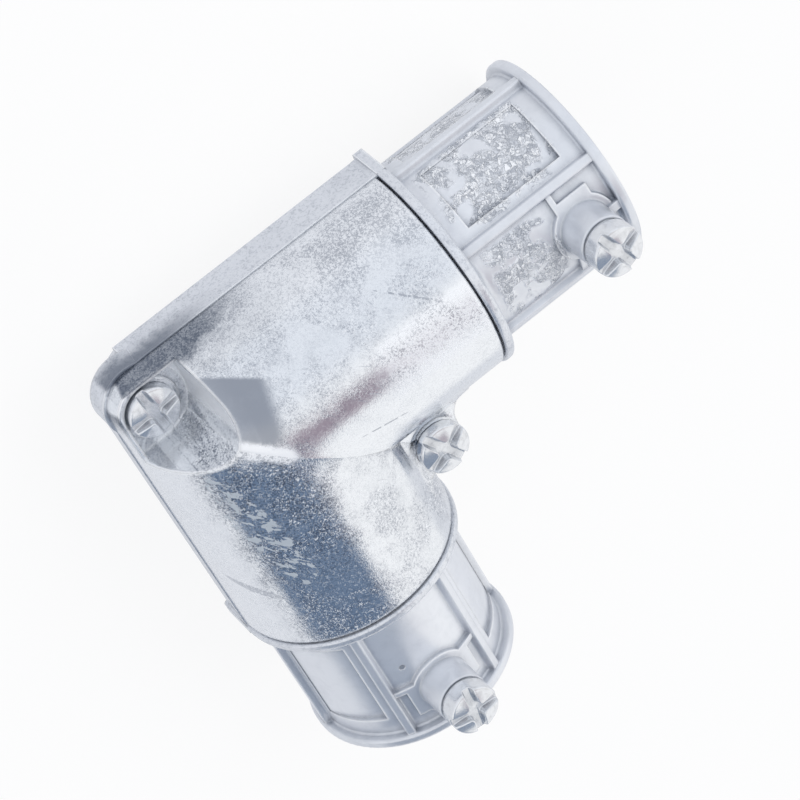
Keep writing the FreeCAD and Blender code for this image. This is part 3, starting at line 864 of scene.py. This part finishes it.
class Crumple:
    """Crumpled skin of a window: flat facets of chance brightness with strokes of painted shade in the
    grooves between them.
    """

    def __init__(self, nodes, point):
        sway = nodes.add("ShaderNodeTexNoise", {}, {
            "Vector": point, "Scale": FACET_SWAYS_PER_MM, "Detail": FACET_SWAY_DETAIL}, "Color")
        creased = nodes.vector("MULTIPLY_ADD", sway, (FACET_SWAY_MM,) * 3, point)
        sockets = {"Vector": creased, "Scale": FACETS_PER_MM}
        chance = nodes.add("ShaderNodeTexVoronoi", {}, sockets, "Color")
        off_crease = nodes.add("ShaderNodeTexVoronoi", {"feature": "DISTANCE_TO_EDGE"}, sockets, "Distance")
        self.facet = nodes.axis(chance, "X")
        # Dark strokes of painted shade in the grooves between facets.
        self.strokes = nodes.fall(off_crease, *STROKE_RANGE)
        self.height = self.facet * 0.6 + nodes.rise(off_crease, *FACET_SLOPE_RANGE) * 0.4


def window_area(nodes, place, mottle):
    """1 inside the windows between the ribs of a hub, with ragged edges."""
    turned = place.degrees.maths("ABSOLUTE")
    panel = (turned + PANEL_DEGREES / 2).maths("MODULO", PANEL_DEGREES) - PANEL_DEGREES / 2
    ragged = (mottle - 0.5) * WINDOW_RAGGED_DEGREES
    across = nodes.band(panel + ragged, -WINDOW_HALF_DEGREES, WINDOW_HALF_DEGREES, WINDOW_SOFT_DEGREES)
    start_low, start_high = WINDOW_START_MM
    end = RIM_FACE_MM - WINDOW_TO_RIM_MM - WINDOW_TO_BOSS_MM * (turned < PANEL_DEGREES / 2)
    along = place.along + ragged * 0.25
    lengthwise = nodes.rise(along, COLLAR_END_MM + start_low, COLLAR_END_MM + start_high)
    return across * lengthwise * nodes.fall(along, end, end + WINDOW_END_SOFT_MM)


def heel_shade(nodes, place, mottle):
    """Painted dark shade on the outside of the body's heel, under the seam."""
    outside = nodes.fall(place.x, *HEEL_OUTSIDE_MM)
    by_heel = outside * nodes.fall(place.y + 5.0 * mottle, *HEEL_SHADE_END_MM)
    return by_heel * nodes.rise(place.z + 3.0 * mottle, *HEEL_SHADE_DEPTH_MM)


def casting_pits(nodes, place, mottle):
    """1 in the small pits of the hubs."""
    pits = 0.0
    for centre in PITS_MM:
        off = nodes.measure("DISTANCE", place.point, centre)
        pits = pits + nodes.fall(off + 0.5 * (mottle - 0.5), *PIT_RADIUS_MM)
    return pits


def body_material(settings):
    """Satin die-cast skin with crumpled windows on one hub and smooth ones on the other, painted shade in
    corners and under the heel seam, and painted highlights on the edges.
    """
    material, nodes = new_material("satin_cast_zinc")
    place = Place(nodes)
    patches = nodes.noise(place.point, *BODY_PATCHES)
    mottle = nodes.noise(place.point, *BODY_MOTTLE)
    fine = nodes.noise(place.point, *BODY_FINE)
    coarse = nodes.noise(place.point, *BODY_GRIT)
    on_hub = nodes.rise(place.along, COLLAR_END_MM - COLLAR_SOFT_MM, COLLAR_END_MM)
    off_hub = 1.0 - on_hub

    crumple = Crumple(nodes, place.point)
    window = window_area(nodes, place, mottle)
    deep, shallow = WINDOW_DEPTH_MM
    outside = nodes.rise(place.from_axis, HUB_RADIUS_MM - deep, HUB_RADIUS_MM - shallow)
    crumpled = window * on_hub * place.on_y_arm * nodes.fall(patches, *BARE_WINDOW_RANGE) * outside
    pits = casting_pits(nodes, place, mottle)
    # Painted shade in inner corners: it dulls the body and darkens the hubs' deep corners.
    corners = corner_shade(nodes, settings.corner_reach)
    normal, edges = soft_edges(nodes, settings.body_edge, corners)
    corners = corners * (1.0 - off_hub * place.on_x_arm)

    dullness = weighted_sum(BODY_DULL_SHARES, {
        "clouds": nodes.rise(mottle * 0.5 + patches * 0.5, *BODY_CLOUD_RANGE),
        "grit": nodes.rise(coarse + 0.3 * mottle, *BODY_GRIT_RANGE) * off_hub,
        "strokes": crumpled * crumple.strokes,
        "dark_facets": crumpled * nodes.fall(crumple.facet, *DARK_FACET_RANGE),
        "chamber": off_hub,
        "hub_frame": on_hub * (1.0 - window),
        "shaded_corners": corners * (0.5 + mottle),
    })
    bright_facets = crumpled * nodes.rise(crumple.facet, *BRIGHT_FACET_RANGE) * (1.0 - crumple.strokes)
    # Painted highlights on the edges, together with the pale facets.
    highlight_and_pale = edges.at_least(bright_facets)
    colour = nodes.mix(dullness, settings.body_bright, settings.dull)
    # Painted shade in the hubs' deep corners.
    colour = nodes.mix(nodes.rise(corners, *HUB_CORNER_RANGE) * 0.45 * on_hub, colour, settings.stain_and_shade)
    colour = nodes.mix(highlight_and_pale * 0.9, colour, settings.highlight_and_pale)
    # Painted dark shade on the heel under the seam.
    colour = nodes.mix(heel_shade(nodes, place, mottle) * 0.8, colour, settings.stain_and_shade)
    colour = nodes.mix(pits * 0.55, colour, settings.stain_and_shade)
    roughness = BODY_ROUGHNESS + 0.06 * on_hub + 0.08 * mottle - 0.08 * crumpled
    height = crumple.height * crumpled * CRUMPLE_HEIGHT_MM - pits * PIT_DEPTH_MM
    height = height + fine * FINE_HEIGHT_MM + mottle * MOTTLE_HEIGHT_MM
    finish_surface(nodes, colour, roughness, height, normal, BODY_METALLIC - 0.45 * highlight_and_pale)
    return material


def screw_material(settings):
    """Bright zinc plate with faint smears, painted shade in the slots and painted highlights on the edges.
    """
    material, nodes = new_material("zinc_plate")
    spot = nodes.add("ShaderNodeTexCoord", {}, {}, "Object")
    point = nodes.vector("MULTIPLY", spot, (MILLIMETRES,) * 3)
    smears = nodes.noise(point, *PLATE_SMEARS)
    fine = nodes.noise(point, *PLATE_FINE)
    corners = corner_shade(nodes, settings.slot_depth)
    normal, edges = soft_edges(nodes, settings.slot_lip, corners)
    smeared = tuple(settings.plate_smear * part for part in settings.plate)
    colour = nodes.mix(nodes.rise(smears, *SMEAR_RANGE) * 0.5, settings.plate, smeared)
    # Painted shade deep in the slots.
    colour = nodes.mix(nodes.rise(corners, *SLOT_CORNER_RANGE) * 0.85, colour, settings.slot_shade)
    # Painted highlights on the edges of the heads.
    colour = nodes.mix(edges * 0.7, colour, settings.slot_edge_highlight)
    roughness = SCREW_ROUGHNESS + 0.12 * nodes.rise(smears, *SMEAR_ROUGH_RANGE) + 0.03 * fine
    height = fine * PLATE_FINE_HEIGHT_MM + smears * PLATE_SMEAR_HEIGHT_MM
    finish_surface(nodes, colour, roughness, height, normal, SCREW_METALLIC - 0.4 * edges)
    return material


def ease(value, low, high):
    """0 below low, 1 above high, smooth between."""
    share = min(max((value - low) / (high - low), 0.0), 1.0)
    return share * share * (3.0 - 2.0 * share)


def head_height(settings, side, u, v):
    """Height of a screw head's top over its underside at u along one slot and v along the other."""
    reach = math.hypot(u, v)
    top = side + settings.head_dome
    flat_reach = settings.head_radius - settings.head_edge
    share = min(reach / flat_reach, 1.0)
    height = top - (settings.head_dome - settings.head_edge) * share * share
    if reach > flat_reach:
        over = min((reach - flat_reach) / settings.head_edge, 1.0)
        height = side + settings.head_edge * math.sqrt(max(1.0 - over * over, 0.0))
    half = settings.slot_width / 2
    near_u = settings.slot_corner + half - abs(u)
    near_v = settings.slot_corner + half - abs(v)
    outside = math.hypot(max(near_u, 0.0), max(near_v, 0.0)) + min(max(near_u, near_v), 0.0)
    sunk = ease(outside - settings.slot_corner, -settings.slot_lip, settings.slot_lip)
    slot_floor = min(top - settings.slot_depth, height)
    return height + sunk * (slot_floor - height)


def head_crest(settings, side):
    """Height of the highest point that the slots leave of a head, over its underside."""
    step = math.sqrt(0.5) * settings.head_radius / settings.crown_rings
    places = [index * step for index in range(settings.crown_rings + 1)]
    return max(head_height(settings, side, place, place) for place in places)


def thread_radius(settings, outer, depth, angle, length):
    """Radius of the thread at a depth below the head and an angle."""
    pitch = settings.thread_pitch
    turn = depth / pitch + angle / (2 * math.pi)
    ridge = abs((turn % 1.0) - 0.5) * 2
    crest = ease(ridge, *THREAD_FLANK) * ease(depth, 0.0, THREAD_START_TURNS * pitch)
    taper = ease(length - depth, 0.0, THREAD_END_TURNS * pitch)
    root = outer - settings.thread_depth
    root = root * (THREAD_POINT_SHARE + (1.0 - THREAD_POINT_SHARE) * taper)
    return root + settings.thread_depth * crest * taper


def head_rings(settings, side, slot_deg, angles):
    """Rings of points from near the middle of a head, over its edge and down to its underside."""
    turn = math.radians(slot_deg)
    rings = []
    for index in range(1, settings.crown_rings + 1):
        reach = settings.head_radius * (index / settings.crown_rings) ** HEAD_RING_CROWDING
        ring = []
        for angle in angles:
            u = reach * math.cos(angle - turn)
            v = reach * math.sin(angle - turn)
            height = head_height(settings, side, u, v)
            ring.append((reach * math.cos(angle), reach * math.sin(angle), height))
        rings.append(ring)
    rim = rings[-1]
    for index in range(1, HEAD_SIDE_RINGS + 1):
        share = 1.0 - index / HEAD_SIDE_RINGS
        rings.append([(x, y, height * share) for x, y, height in rim])
    return rings


def thread_rings(settings, shank, length, angles):
    """Rings of points down the thread, from the head's underside to the point."""
    step = settings.thread_pitch / THREAD_RINGS_PER_TURN
    steps = max(int(length / step), THREAD_FEWEST_RINGS)
    rings = []
    for index in range(steps + 1):
        depth = length * index / steps
        ring = []
        for angle in angles:
            radius = thread_radius(settings, shank, depth, angle, length)
            ring.append((radius * math.cos(angle), radius * math.sin(angle), -depth))
        rings.append(ring)
    return rings


def screw_mesh(name, settings, side, shank, length, slot_deg):
    """Closed mesh of one screw about the Z axis, the head's underside at height 0."""
    count = settings.spokes
    angles = [2 * math.pi * index / count for index in range(count)]
    rings = head_rings(settings, side, slot_deg, angles) + thread_rings(settings, shank, length, angles)
    points = [(0.0, 0.0, head_height(settings, side, 0.0, 0.0))]
    for ring in rings:
        points.extend(ring)
    points.append((0.0, 0.0, -length))
    last = 1 + (len(rings) - 1) * count
    faces = []
    for spoke in range(count):
        after = (spoke + 1) % count
        faces.append((0, 1 + spoke, 1 + after))
        for near in range(1, last, count):
            far = near + count
            faces.append((near + spoke, far + spoke, far + after, near + after))
        faces.append((len(points) - 1, last + after, last + spoke))
    mesh = bpy.data.meshes.new(name)
    mesh.from_pydata(points, [], faces)
    mesh.update()
    mesh.shade_smooth()
    return mesh


class ELBOW_OT_body(bpy.types.Operator):
    """Gives the die-cast body its satin zinc finish"""

    bl_idname = "elbow.body"
    bl_label = "Finish the body"

    def execute(self, context):
        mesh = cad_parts["body"].data
        mesh.materials.clear()
        mesh.materials.append(body_material(context.scene.elbow_casting))
        return {"FINISHED"}


class ELBOW_OT_cover(bpy.types.Operator):
    """Gives the die-cast cover its bright mottled finish"""

    bl_idname = "elbow.cover"
    bl_label = "Finish the cover"

    def execute(self, context):
        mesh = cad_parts["cover"].data
        mesh.materials.clear()
        mesh.materials.append(cover_material(context.scene.elbow_casting))
        return {"FINISHED"}


class ELBOW_OT_screws(bpy.types.Operator):
    """Makes the two cover screws and the two set screws with cut heads and real threads"""

    bl_idname = "elbow.screws"
    bl_label = "Make the screws"

    def execute(self, context):
        settings = context.scene.elbow_screws
        material = screw_material(settings)
        for node in COVER_SCREWS + SET_SCREWS:
            is_set = node in SET_SCREWS
            side = settings.set_head_side if is_set else settings.cover_head_side
            shank = settings.set_shank_radius if is_set else settings.cover_shank_radius
            low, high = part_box(node)
            underside = high[2] - head_crest(settings, side)
            mesh = screw_mesh(node + "_mesh", settings, side, shank, underside - low[2], SLOT_DEGREES[node])
            mesh.materials.append(material)
            piece = bpy.data.objects.new(node + "_threaded", mesh)
            piece.location = ((low[0] + high[0]) / 2, (low[1] + high[1]) / 2, underside)
            context.scene.collection.objects.link(piece)
            context.view_layer.update()
            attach(piece, node)
            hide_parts(node)
        return {"FINISHED"}


class ELBOW_OT_stage(bpy.types.Operator):
    """Sets up the floor, the white studio, the soft lamp and the camera"""

    bl_idname = "elbow.stage"
    bl_label = "Set up the studio"

    def execute(self, context):
        settings = context.scene.elbow_studio
        scene = context.scene
        scene.view_settings.view_transform = "Standard"
        self.make_floor(scene, settings)
        self.make_world(scene, settings)
        self.make_lamp(scene, settings)
        self.make_camera(scene)
        return {"FINISHED"}

    def make_floor(self, scene, settings):
        """White paper that keeps a share of its shading, and that metal mirrors a little darker."""
        half = settings.floor_half
        low = cad_box[0][2]
        mesh = bpy.data.meshes.new("studio_floor")
        corners = [(-half, -half, low), (half, -half, low), (half, half, low), (-half, half, low)]
        mesh.from_pydata(corners, [], [(0, 1, 2, 3)])
        floor = bpy.data.objects.new("studio_floor", mesh)
        scene.collection.objects.link(floor)
        material, nodes = new_material("white_paper")
        seen = nodes.add("ShaderNodeLightPath", {}, {}, "Is Camera Ray")
        mirrored = nodes.add("ShaderNodeLightPath", {}, {}, "Is Glossy Ray")
        through = nodes.add("ShaderNodeLightPath", {}, {}, "Is Transmission Ray")
        shown = (seen + mirrored + through).at_most(1.0) * (1.0 - settings.shadow_share)
        paper = nodes.add("ShaderNodeBsdfDiffuse", {}, {"Color": settings.floor})
        glow_colour = nodes.mix(seen, settings.floor_mirrored, WHITE)
        glow = nodes.add("ShaderNodeEmission", {}, {"Color": glow_colour, "Strength": 1.0})
        surface = nodes.add("ShaderNodeMixShader", {}, {0: shown, 1: paper, 2: glow})
        nodes.add("ShaderNodeOutputMaterial", {}, {"Surface": surface})
        mesh.materials.append(material)

    def make_world(self, scene, settings):
        """White studio with a dark and a warm screen; the camera itself sees plain white."""
        world = bpy.data.worlds.new("white_studio")
        world.use_nodes = True
        nodes = Nodes(world.node_tree)
        way = nodes.add("ShaderNodeTexCoord", {}, {}, "Generated")
        x = nodes.axis(way, "X")
        y = nodes.axis(way, "Y")
        z = nodes.axis(way, "Z")
        across_x = y.maths("ARCTAN2", z) * math.degrees(1.0)
        across_y = x.maths("ARCTAN2", z) * math.degrees(1.0)
        dark = nodes.band(x, *DARK_SCREEN_X, SCREEN_SOFT)
        dark = dark * nodes.band(across_x, *DARK_SCREEN_DEGREES, DARK_SCREEN_SOFT_DEGREES)
        warm = nodes.band(y, *WARM_SCREEN_Y, SCREEN_SOFT)
        warm = warm * nodes.band(across_y, *WARM_SCREEN_DEGREES, WARM_SCREEN_SOFT_DEGREES)
        unlit = nodes.fall(across_y, *UNLIT_DEGREES) * nodes.rise(z, *UNLIT_FROM_HEIGHT)
        seen = nodes.add("ShaderNodeLightPath", {}, {}, "Is Camera Ray")
        colour = nodes.mix(unlit, settings.surround, settings.grey_side)
        colour = nodes.mix(dark, colour, settings.dark_screen)
        colour = nodes.mix(warm, colour, settings.warm_screen)
        colour = nodes.mix(seen, colour, WHITE)
        light = nodes.add("ShaderNodeBackground", {}, {"Color": colour, "Strength": 1.0})
        nodes.add("ShaderNodeOutputWorld", {}, {"Surface": light})
        scene.world = world

    def make_lamp(self, scene, settings):
        """Square soft lamp that the metal does not mirror."""
        lamp = bpy.data.lights.new("soft_lamp", "AREA")
        lamp.energy = settings.lamp_power
        lamp.shape = "SQUARE"
        lamp.size = LAMP_WIDTH
        holder = bpy.data.objects.new("soft_lamp", lamp)
        holder.location = LAMP_PLACE
        holder.rotation_euler = (-LAMP_PLACE).to_track_quat("-Z", "Y").to_euler()
        holder.visible_glossy = False
        scene.collection.objects.link(holder)

    def make_camera(self, scene):
        """Camera of the photograph."""
        lens = bpy.data.cameras.new("photo_camera")
        lens.lens = CAMERA_LENS_MM
        lens.sensor_width = CAMERA_SENSOR_MM
        camera = bpy.data.objects.new("photo_camera", lens)
        facing = Matrix((CAMERA_RIGHT, -CAMERA_DOWN, -CAMERA_FORWARD)).transposed().to_4x4()
        facing.translation = CAMERA_PLACE
        camera.matrix_world = facing
        scene.collection.objects.link(camera)
        scene.camera = camera


class ELBOW_PT_panel(bpy.types.Panel):
    """Lists the elbow's operators"""

    bl_idname = "ELBOW_PT_panel"
    bl_label = "Pull elbow"
    bl_space_type = "VIEW_3D"
    bl_region_type = "UI"
    bl_category = "Elbow"

    def draw(self, context):
        for name in ("elbow.body", "elbow.cover", "elbow.screws", "elbow.stage"):
            self.layout.operator(name)


CLASSES = (
    CastingSettings, ScrewSettings, StudioSettings, ELBOW_OT_body, ELBOW_OT_cover, ELBOW_OT_screws,
    ELBOW_OT_stage, ELBOW_PT_panel)


def register():
    for item in CLASSES:
        bpy.utils.register_class(item)
    bpy.types.Scene.elbow_casting = PointerProperty(type=CastingSettings)
    bpy.types.Scene.elbow_screws = PointerProperty(type=ScrewSettings)
    bpy.types.Scene.elbow_studio = PointerProperty(type=StudioSettings)


def unregister():
    del bpy.types.Scene.elbow_studio
    del bpy.types.Scene.elbow_screws
    del bpy.types.Scene.elbow_casting
    for item in reversed(CLASSES):
        bpy.utils.unregister_class(item)


def main():
    register()
    bpy.ops.elbow.body()
    bpy.ops.elbow.cover()
    bpy.ops.elbow.screws()
    bpy.ops.elbow.stage()
    bpy.context.view_layer.update()


if __name__ == "__main__":
    main()
